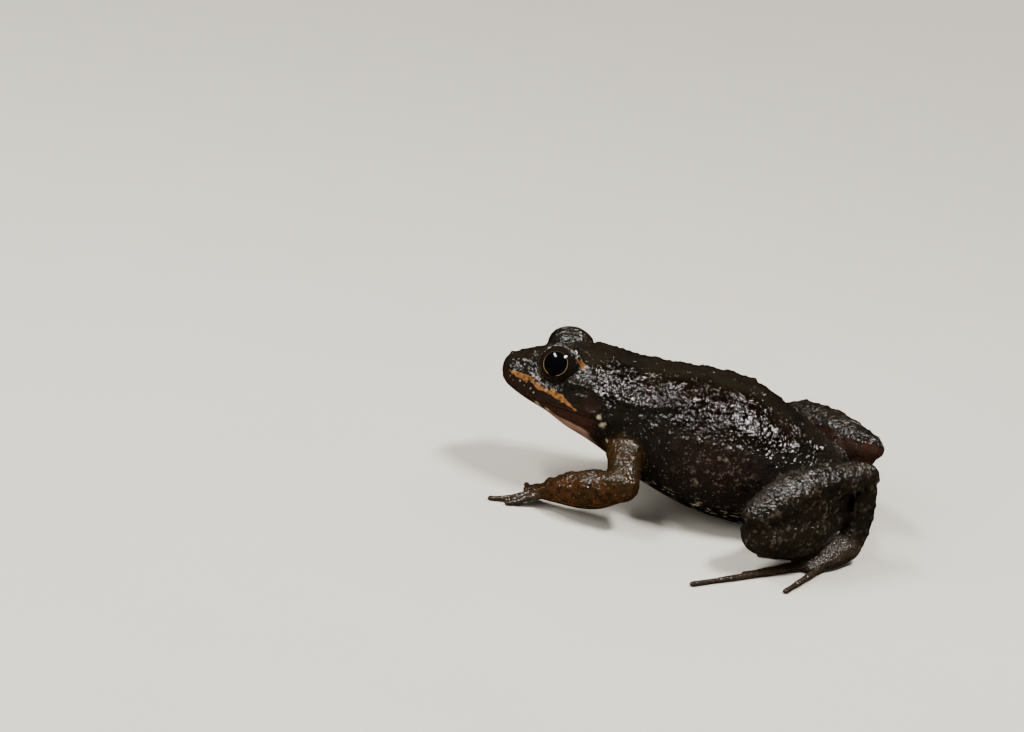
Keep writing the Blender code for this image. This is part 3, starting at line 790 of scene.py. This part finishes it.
def wart_group():
    """Geometry Nodes that lift the skin round scattered points."""
    group = bpy.data.node_groups.new("warts", "GeometryNodeTree")
    for name, kind in (("Skin", "Geometry"), ("Spacing", "Float"), ("Reach", "Float"), ("Height", "Float"),
                       ("Seed", "Int"), ("Finish", "Material")):
        group.interface.new_socket(name, in_out="INPUT", socket_type="NodeSocket" + kind)
    group.interface.new_socket("Skin", in_out="OUTPUT", socket_type="NodeSocketGeometry")
    tree = Tree(group)
    given = tree.node("NodeGroupInput", out="Skin")
    amount = tree.node("GeometryNodeInputNamedAttribute", {"data_type": "FLOAT"}, {"Name": "warty"}, out=0)
    scatter = tree.node("GeometryNodeDistributePointsOnFaces", {"distribute_method": "POISSON"}, {
        "Mesh": given, "Distance Min": given.other("Spacing"), "Density Max": MOST_WARTS,
        "Density Factor": amount, "Seed": given.other("Seed")})
    nearest = tree.node("GeometryNodeProximity", {"target_element": "POINTS"}, {0: scatter}, out="Distance")
    chance = tree.node("ShaderNodeTexNoise", values={"Vector": nearest.other("Position"), "Scale": 2.7})
    reach = given.other("Reach") * (chance * 1.2 + 0.4)
    dome = 1.0 - tree.node("ShaderNodeMapRange", {"interpolation_type": "SMOOTHSTEP"},
                           {"Value": nearest, "From Max": reach})
    lift = dome * amount * given.other("Height") * (chance * 1.4 + 0.3)
    way = tree.node("GeometryNodeInputNormal")
    offset = tree.node("ShaderNodeVectorMath", {"operation": "SCALE"}, {"Vector": way, "Scale": lift})
    moved = tree.node("GeometryNodeSetPosition", values={"Geometry": given, "Offset": offset})
    real = tree.node("GeometryNodeRealizeInstances", values={"Geometry": moved})
    final = tree.node("GeometryNodeSetMaterial", values={"Geometry": real, "Material": given.other("Finish")})
    tree.node("NodeGroupOutput", values={"Skin": final})
    return group


def add_group(item, group, **inputs):
    """A Geometry Nodes modifier with its named inputs set."""
    change = item.modifiers.new(group.name, "NODES")
    change.node_group = group
    for socket in group.interface.items_tree:
        if socket.in_out == "INPUT" and socket.name in inputs:
            change[socket.identifier] = inputs[socket.name]


print("wart sizes:", ", ".join(WARTS))

# %% Raise the warts
plain = np.maximum.reduce([
    1.0 - eased(away_from(lidded, EYE_CENTRE), 2.0, 2.3),
    eased(-read_rows(skin.data.vertex_normals, "vector")[:, 2], 0.3, 0.8),
    bump(above_mouth(lidded) - 0.3, 0.7) * (1.0 - eased(lidded[:, 1], 8.5, 10.0)),
    1.0 - eased(away_from(lidded, EARDRUM), 0.9, 1.2),
    1.0 - eased(limb_ratio(points, ["digit"]), 1.2, 1.6),
])
set_mark(skin.data, "warty", 1.0 - plain)
warts = wart_group()
for spacing, reach, height, seed in WARTS.values():
    add_group(skin, warts, Spacing=spacing, Reach=reach, Height=height, Seed=seed)
    skin = applied(skin)
print("warts raised on", len(skin.data.vertices), "points")


# %% [markdown]
# ## Fewer faces
# The even net has far more faces than plain skin needs. Decimation takes them
# away where the skin is smooth and leaves them at lids, lips, folds and warts.

# %% Thin the net
MOST_TRIANGLES = 190000
skin.data.calc_loop_triangles()
thin = skin.modifiers.new("thin", "DECIMATE")
thin.ratio = min(1.0, MOST_TRIANGLES / len(skin.data.loop_triangles))
skin = applied(skin)
points = read_rows(skin.data.vertices, "co")
points[:, 2] = np.maximum(points[:, 2], 0.0)
print("skin:", len(skin.data.polygons), "faces")


# %% [markdown]
# ## Markings
# The colours follow the body: an orange stripe along the upper lip and a patch
# of it behind the eye, dark red lips, a pinkish throat, cream glands behind the
# mouth, rust-coloured arms, and pale slivers where the flank turns under. Each
# is a number stored on the skin's points and worked out from where the point
# lies, so the pattern stays on the body however the finish is changed.

# %% Markings of the head
# distance behind the snout, height, half width
LIP_STRIPE = [(0.95, 10.15, 0.06), (1.6, 10.13, 0.24), (2.1, 10.12, 0.27), (2.7, 10.17, 0.35),
              (3.2, 10.2, 0.31), (3.7, 10.02, 0.30), (4.5, 9.87, 0.28), (5.5, 9.8, 0.30),
              (6.4, 9.58, 0.37), (6.8, 9.45, 0.27), (7.35, 9.2, 0.20), (7.9, 8.97, 0.18),
              (8.2, 8.85, 0.0)]
EYE_PATCH = [(3.95, 6.5, 13.3), (3.85, 6.85, 13.15), (3.55, 7.25, 12.85), (3.4, 7.55, 12.4),
             (3.5, 7.65, 12.0)]
# place and reach of each cream gland, and of the cream slivers on the lower lip
GLANDS = [((5.79, 10.03, 8.8), 0.27), ((5.77, 10.42, 8.15), 0.27), ((5.76, 10.62, 8.3), 0.2),
          ((5.47, 11.09, 6.67), 0.17), ((3.78, 4.05, 8.22), 0.15), ((3.9, 4.4, 8.19), 0.15),
          ((4.1, 4.85, 8.14), 0.14), ((4.25, 5.15, 8.1), 0.18), ((4.38, 5.42, 8.06), 0.17),
          ((4.48, 5.7, 8.0), 0.13)]
# distance behind the snout and height of the lower jaw's dark edge
JAW_EDGE = [(0.0, 8.6), (2.0, 8.1), (4.0, 8.0), (5.7, 7.92), (6.7, 7.77), (7.8, 7.59), (8.7, 7.42),
            (9.3, 7.2)]


def wavering(points, size, seed):
    """Soft chance numbers from -1 to 1 over the skin."""
    away = Vector((seed * 7.3, seed * 1.9, seed * 4.1))
    return np.array([noise.noise(Vector(point) / size + away) for point in points])


def throat_mark(folded, ways, waver, broad):
    """The pinkish area below the jaw's edge, which ends unevenly on the chest."""
    y, z = folded[:, 1], folded[:, 2]
    under_jaw = eased(np.interp(y, *zip(*JAW_EDGE)) + 0.06 * waver - z, -0.05, 0.12)
    chest = 9.7 + 2.6 * eased(-ways[:, 2], 0.6, 0.9) * (1.0 + 0.6 * broad)
    return under_jaw * (1.0 - eased(y, 9.0, chest))


def gland_mark(folded, waver):
    """The cream glands, each a little uneven."""
    found = np.zeros(len(folded))
    for place, reach in GLANDS:
        near = away_from(folded, place) + 0.12 * waver
        found = np.maximum(found, 1.0 - eased(near, reach * 0.75, reach * 1.05))
    return found


def head_marks(folded, waver, throat):
    """How strong each marking of the head is at each point."""
    y, mouth = folded[:, 1], above_mouth(folded)
    ys, heights, widths = np.array(LIP_STRIPE).T
    off = folded[:, 2] - np.interp(y, ys, heights) + 0.14 * waver
    width = np.interp(y, ys, widths, left=-1.0, right=-1.0) * (1.0 + 0.4 * waver)
    off_eye = eased(away_from(folded, EYE_CENTRE), 2.1, 2.35)
    return {
        "stripe": eased(width - np.abs(off), -0.03, 0.07) * off_eye,
        "eye_patch": 1.0 - eased(distance_to(folded, EYE_PATCH) + 0.14 * waver, 0.12, 0.3),
        "lip": (1.0 - eased(mouth, 0.75, 1.4)) * (1.0 - throat) * (1.0 - eased(y, 9.0, 10.6)),
        "jaw": (1.0 - eased(mouth, -0.12, 0.02)) * (1.0 - throat) * (1.0 - eased(y, 9.2, 10.2)),
        "lip_edge": bump(mouth - 0.17, 0.1) * (1.0 - eased(y, 8.6, 9.4)),
        "throat": throat,
        "gland": gland_mark(folded, waver),
        "drum": 1.0 - eased(away_from(folded, EARDRUM), 0.65, 1.0),
        # the lids' pale edge, with a painted highlight along the lower rim
        "lid": draw_lids(folded)[1],
    }


print("stripe from", LIP_STRIPE[0][0], "to", LIP_STRIPE[-1][0], "mm,", len(GLANDS), "cream spots")

# %% Markings of the trunk and the limbs
# which limbs share a colour, and how far it reaches from their middle, 1 being their skin
LIMB_COLOURS = {
    "arm": (["arm"], 1.1, 1.4),
    "digit": (["digit"], 1.2, 1.7),
    "foot": (["foot"], 1.15, 1.5),
    "leg": (["thigh", "shank"], 1.1, 1.35),
}


def limb_marks(points, folded, ways, broad):
    """How strong the colour of each kind of limb is at each point."""
    found = {name: 1.0 - eased(limb_ratio(points, limbs), low, high)
             for name, (limbs, low, high) in LIMB_COLOURS.items()}
    inward = -ways[:, 0] * np.where(points[:, 0] < 0, -1.0, 1.0)
    behind = eased(0.6 * ways[:, 1] - ways[:, 2] + 0.2 * broad, 0.95, 1.25)
    inside = eased(inward - 0.5 * ways[:, 2] + 0.15 * broad, 0.35, 0.65)
    found["rear"] = found["leg"] * np.maximum(behind, inside)
    found["shoulder"] = eased(folded[:, 2], 3.3, 4.9)
    return found


def trunk_marks(folded, ways, broad):
    """How strong each marking of the trunk is at each point."""
    y, z, up = folded[:, 1], folded[:, 2], ways[:, 2]
    return {
        "belly": eased(-up + 0.05 * broad, 0.9, 0.99),
        "side": eased(y, 9.0, 12.0) * (1.0 - eased(up + 0.25 * broad, 0.1, 0.6)),
        "edge": bump(up + 0.80, 0.13) * eased(y, 12.0, 14.0),
        "back": eased(up + 0.25 * broad, 0.35, 0.9),
        "flank": bump(y - 21.0, 4.5) * bump(z - 6.8, 2.6),
    }


def all_marks(points, folded, ways):
    """Every marking of the skin, by name."""
    waver, broad = wavering(points, 0.55, 1), wavering(points, 2.5, 2)
    limbs = limb_marks(points, folded, ways, broad)
    throat = throat_mark(folded, ways, waver, broad) * (1.0 - limbs["arm"])
    trunk = 1.0 - np.maximum.reduce([limbs[name] for name in LIMB_COLOURS])
    found = {name: values * trunk for name, values in trunk_marks(folded, ways, broad).items()}
    found["belly"] *= 1.0 - throat
    limbs["arm"] *= 1.0 - limbs["digit"]
    limbs["foot"] *= 1.0 - limbs["digit"]
    return {**found, **limbs, **head_marks(folded, waver, throat)}


found = all_marks(points, points * side_signs(points), read_rows(skin.data.vertex_normals, "vector"))
for name, values in found.items():
    set_mark(skin.data, name, values)
write_points(skin.data, points * MM + SHIFT)
skin.data.shade_smooth()
print("markings:", ", ".join(found))


# %% [markdown]
# ## The wet skin's finish
# Frog skin is thin, grainy and always wet. Its colour is laid in coats, each
# by the share that a stored marking gives it, broken up by noise and by small
# scattered spots. The film of water is a smooth, clear gloss, and the grain
# under it is a bump of rounded cells and wrinkles, which break each reflection
# into bright squiggles.

# %% Colours and coats of the body
OLIVE_BLACK, WARM_BLACK = (0.006, 0.0052, 0.0038), (0.0088, 0.0070, 0.005)
BACK_BROWN, FLANK_PURPLE = (0.0135, 0.0093, 0.0058), (0.017, 0.0095, 0.0075)
BELLY_PALE, THROAT_PINK = (0.36, 0.28, 0.20), (0.25, 0.15, 0.105)
LIP_RED, JAW_RED, LIP_EDGE = (0.013, 0.007, 0.005), (0.030, 0.012, 0.007), (0.045, 0.022, 0.014)
REAR_RED, DRUM_RED = (0.029, 0.0135, 0.009), (0.018, 0.009, 0.007)
ARM_RUST, ARM_OLIVE = (0.045, 0.0165, 0.0055), (0.019, 0.012, 0.0048)
# gold of the arms' flecks, partly the skin's own and partly a painted sparkle of wet highlights
ARM_GOLD_AND_SPARKLE, ARM_DARK = (0.13, 0.07, 0.022), (0.010, 0.006, 0.004)
DIGIT_BROWN, FOOT_OLIVE = (0.036, 0.022, 0.014), (0.022, 0.017, 0.011)


def coated(tree, colour, coats):
    """A colour under coats, each given by its share and its own colour."""
    for share, coat in coats:
        colour = tree.mix(share, colour, coat)
    return colour


def body_coats(tree, fine, middle, broad):
    """The plain areas of trunk, legs and head."""
    mark = tree.mark
    return [
        (mark("back") * 0.8 * broad.between(0.3, 0.6), BACK_BROWN),
        (mark("flank") * 0.7, FLANK_PURPLE),
        (mark("leg") * broad.between(0.3, 0.65) * 0.7, BACK_BROWN),
        (mark("rear"), REAR_RED),
        (mark("belly") * (0.55 + middle * 0.7), BELLY_PALE),
        (mark("throat") * (0.45 + middle * 0.8), THROAT_PINK),
        (mark("lip") * 0.9, LIP_RED),
        (mark("jaw") * (0.5 + middle * 0.6), JAW_RED),
        (mark("lip_edge") * fine.between(0.3, 0.6), LIP_EDGE),
    ]


def limb_coats(tree, place, fine, middle):
    """The rust of the arms with gold flecks that are partly painted sparkle, the browns of feet and digits,
    and the eardrum.
    """
    spots = 1.0 - tree.cells(place, 0.42).between(0.10, 0.32)
    rust = coated(tree, tree.mix(middle.between(0.3, 0.7), ARM_OLIVE, ARM_RUST), [
        (tree.grain(place, 0.7, 3.0).between(0.48, 0.62) * 0.75, ARM_DARK),
        # gold flecks: partly the skin's own, partly painted sparkle
        (spots * fine.between(0.4, 0.6) * 0.8, ARM_GOLD_AND_SPARKLE),
        (tree.mark("shoulder") * 0.65, ARM_OLIVE),
    ])
    return [
        (tree.mark("arm"), rust),
        (tree.mark("foot"), tree.mix(middle, FOOT_OLIVE, DIGIT_BROWN)),
        (tree.mark("digit"), tree.mix(middle.between(0.3, 0.7), DIGIT_BROWN, FOOT_OLIVE)),
        (tree.mark("drum") * 0.6, DRUM_RED),
    ]


print("ground colours from", OLIVE_BLACK, "to", WARM_BLACK)

# %% Spots, painted lip highlights and the stripe
SPOT_GREY, FLECK_PALE = (0.060, 0.049, 0.034), (0.11, 0.08, 0.06)
SPECK_BLUE, EDGE_PALE = (0.11, 0.12, 0.13), (0.36, 0.31, 0.23)
# gold of the lids' edge, which also paints a highlight along the lower rim, and cream for the glands and for
# the painted highlights on the lip
LID_GOLD_AND_SHEEN, CREAM_AND_GLINT, STRIPE_ORANGE = (0.13, 0.095, 0.06), (0.32, 0.27, 0.18), (0.19, 0.085, 0.027)
STRIPE_DARK = tuple(0.5 * part for part in STRIPE_ORANGE)
# place and reach of each white glint on the upper lip, a painted highlight
LIP_GLINTS = [((1.84, 0.8, 9.93), 0.08), ((2.37, 1.22, 9.71), 0.09), ((2.17, 1.0, 9.5), 0.07),
            ((2.71, 1.57, 9.47), 0.07), ((3.17, 2.22, 9.71), 0.12), ((3.55, 2.72, 9.52), 0.08),
            ((3.94, 3.36, 9.48), 0.10), ((4.18, 3.74, 9.24), 0.11), ((2.6, 1.75, 9.8), 0.07),
            ((4.9, 5.1, 9.0), 0.06)]


def spot_coats(tree, place, fine, middle):
    """Grey spots on the legs, flecks and specks on the flanks, slivers below them."""
    mark = tree.mark
    pushed = tree.vector("MULTIPLY_ADD", tree.grain(place, 0.5).other("Color"), (0.0008,) * 3, place)
    patchy = middle * 0.6 + fine * 0.4
    spots = 1.0 - tree.cells(pushed, 0.66).between(0.05, 0.55)
    on_legs = (mark("leg") + mark("foot") * 0.6) * (1.0 - mark("rear"))
    flecks = 1.0 - tree.cells(pushed, 0.55).between(0.05, 0.55)
    specks = 1.0 - tree.cells(place, 0.38).between(0.06, 0.22)
    drawn_out = tree.vector("MULTIPLY", pushed, (1.0, 0.45, 1.7))
    slivers = 1.0 - tree.cells(drawn_out, 0.6).between(0.18, 0.38)
    return [
        (spots * patchy.between(0.36, 0.6) * on_legs * 0.85, SPOT_GREY),
        (flecks * mark("flank").between(0.3, 0.8) * patchy.between(0.42, 0.6), FLECK_PALE),
        (specks * mark("side") * fine.between(0.3, 0.55) * 0.75, SPECK_BLUE),
        (slivers * mark("edge") * 0.85, EDGE_PALE),
    ]


def lip_glint_coats(tree, place, fine):
    """The white dots on the upper lip, which are painted highlights, drawn by the distance to each on both
    sides alike.
    """
    one_side = tree.vector("ABSOLUTE", tree.vector("SUBTRACT", place, Vector(SHIFT)))
    coats = []
    for spot, reach in LIP_GLINTS:
        away = tree.vector("DISTANCE", one_side, Vector(spot) * MM, out="Value") + fine * 0.14 * MM
        dot = 1.0 - away.between(reach * 0.7 * MM, (reach * 1.3 + 0.06) * MM)
        # each white dot is a painted highlight on the wet lip
        coats.append((dot * 0.75, CREAM_AND_GLINT))
    return coats


def head_coats(tree, fine):
    """The pale edge of the lids, partly a painted highlight on the lower rim, the mottled orange stripe and
    the cream glands.
    """
    orange = tree.mix(fine.between(0.35, 0.6), STRIPE_DARK, STRIPE_ORANGE)
    stripe = tree.mark("stripe") * 1.3 + fine * 1.6 - 1.35
    return [
        # the lids' pale edge, partly a painted highlight on the lower rim
        (tree.mark("lid") * 0.8, LID_GOLD_AND_SHEEN),
        (stripe.between(0.25, 0.6), orange),
        (tree.mark("eye_patch"), orange),
        (tree.mark("gland") * (0.35 + fine), CREAM_AND_GLINT),
    ]


print(len(LIP_GLINTS), "white dots on each side of the lip")

# %% Paint the skin
GRAIN_SIZES = (0.35, 1.1, 3.5)
GRAIN_HEIGHT = 0.1 * MM


def wet_relief(tree, place):
    """The bump of granules and wrinkles, calmer on lids, eardrums and thighs' rear."""
    mark = tree.mark
    wrinkled = tree.vector("MULTIPLY_ADD", tree.grain(place, 0.6).other("Color"), (0.00035,) * 3, place)
    granules = 1.0 - tree.cells(wrinkled, 0.25, "SMOOTH_F1")
    creases = tree.grain(wrinkled, 0.24, 3.0)
    height = granules + creases * 0.8 + tree.grain(wrinkled, 0.55) * mark("arm") * 1.2
    height = height * (1.0 + mark("leg") * 0.5 + mark("foot") * 0.7)
    calm = mark("lid") * 0.6 + mark("drum") * 0.5 + mark("rear") * 0.8 + mark("back") * 0.2
    smooth = 1.0 - calm.between(0.0, 1.0) * 0.7
    values = {"Strength": 0.9, "Distance": GRAIN_HEIGHT, "Height": height * smooth}
    return tree.node("ShaderNodeBump", values=values)


def paint_skin(tree, shader):
    place = tree.node("ShaderNodeTexCoord", out="Object")
    fine, middle, broad = (tree.grain(place, size) for size in GRAIN_SIZES)
    mark = tree.mark
    ground = tree.mix(middle.between(0.35, 0.65), OLIVE_BLACK, WARM_BLACK)
    coats = [*body_coats(tree, fine, middle, broad), *limb_coats(tree, place, fine, middle),
             *spot_coats(tree, place, fine, middle), *lip_glint_coats(tree, place, fine), *head_coats(tree, fine)]
    soft = mark("leg") * 0.08 + mark("foot") * 0.15 + mark("drum") * 0.1 + mark("lip") * 0.1
    feed(tree, shader, Base_Color=coated(tree, ground, coats), Normal=wet_relief(tree, place),
         Roughness=0.035 + middle * 0.06 + soft, Specular_IOR_Level=0.42)


skin.data.materials.clear()
skin.data.materials.append(finish("wet_skin", paint_skin))
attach(skin, "root")
eyes = {f"eye_{side}" for side in SIDES}
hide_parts(*[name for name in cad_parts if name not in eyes])
print("the skin stands for", len(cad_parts) - len(eyes), "solids")


# %% [markdown]
# ## The eyes
# Each eye is a wet ball between the lids. Its large round pupil is black, with
# a thin gold ring round it that fades above and is broken below, and the iris
# outside the ring is nearly black with a dusting of gold. The ring is drawn by
# the angle from the way the eye looks, so it stays sharp at any size.

# %% The finish of an eye
PUPIL_EDGE, RING_WIDTH, SOFT_EDGE = math.radians(37.5), math.radians(1.4), 0.02
PUPIL_BLACK, IRIS_DARK = (0.0015, 0.0015, 0.002), (0.007, 0.005, 0.004)
IRIS_GOLD, RING_GOLD = (0.05, 0.030, 0.012), (0.30, 0.18, 0.075)


def paint_eye(sign):
    """The finish of the eye on one side."""
    centre = EYE_CENTRE * (sign, 1.0, 1.0) * MM + SHIFT
    gaze = Vector(EYE_GAZE * (sign, 1.0, 1.0))
    below = (Vector((0.0, 0.0, -1.0)) - gaze * -gaze.z).normalized()

    def paint(tree, shader):
        place = tree.node("ShaderNodeTexCoord", out="Object")
        way = tree.vector("NORMALIZE", tree.vector("SUBTRACT", place, Vector(centre)))
        along = tree.vector("DOT_PRODUCT", way, gaze, out="Value")
        down = tree.vector("DOT_PRODUCT", way, below, out="Value")
        waver = tree.grain(way, 0.5 / MM) * 0.05
        turn = along.math("ARCCOSINE") + waver - 0.025
        outer = PUPIL_EDGE + RING_WIDTH
        ring = turn.between(PUPIL_EDGE - SOFT_EDGE, PUPIL_EDGE) - turn.between(outer - SOFT_EDGE, outer)
        ring = ring.math("MAXIMUM", 0.0) * (0.12 + down.between(-0.6, 0.25) * 0.78)
        broken = 1.0 - down.between(0.565, 0.585)
        dust = tree.grain(way, 0.04 / MM, 3.0).between(0.55, 0.75) * 0.3
        iris = tree.mix(dust, IRIS_DARK, IRIS_GOLD)
        colour = tree.mix(turn.between(PUPIL_EDGE, PUPIL_EDGE + 0.03), PUPIL_BLACK, iris)
        colour = tree.mix(ring * broken, colour, RING_GOLD)
        feed(tree, shader, Base_Color=colour, Roughness=0.06, Specular_IOR_Level=0.4)
    return paint


print("the pupil reaches", round(math.degrees(PUPIL_EDGE), 1), "degrees from the way the eye looks")

# %% Eyeballs
EYE_SIDES = 96
for side, sign in SIDES.items():
    ball_points, ball_faces = ball_form(EYE_CENTRE * (sign, 1.0, 1.0), np.full(3, EYE_RADIUS), EYE_SIDES)
    eye = mesh_object(f"eyeball_{side}", ball_points * MM + SHIFT, ball_faces)
    shape = bmesh.new()
    shape.from_mesh(eye.data)
    bmesh.ops.recalc_face_normals(shape, faces=shape.faces)
    shape.to_mesh(eye.data)
    shape.free()
    eye.data.shade_smooth()
    eye.data.materials.append(finish(f"eye_{side}", paint_eye(sign)))
    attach(eye, "root")
    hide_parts(f"eye_{side}")
    print(eye.name, len(eye.data.polygons), "faces")
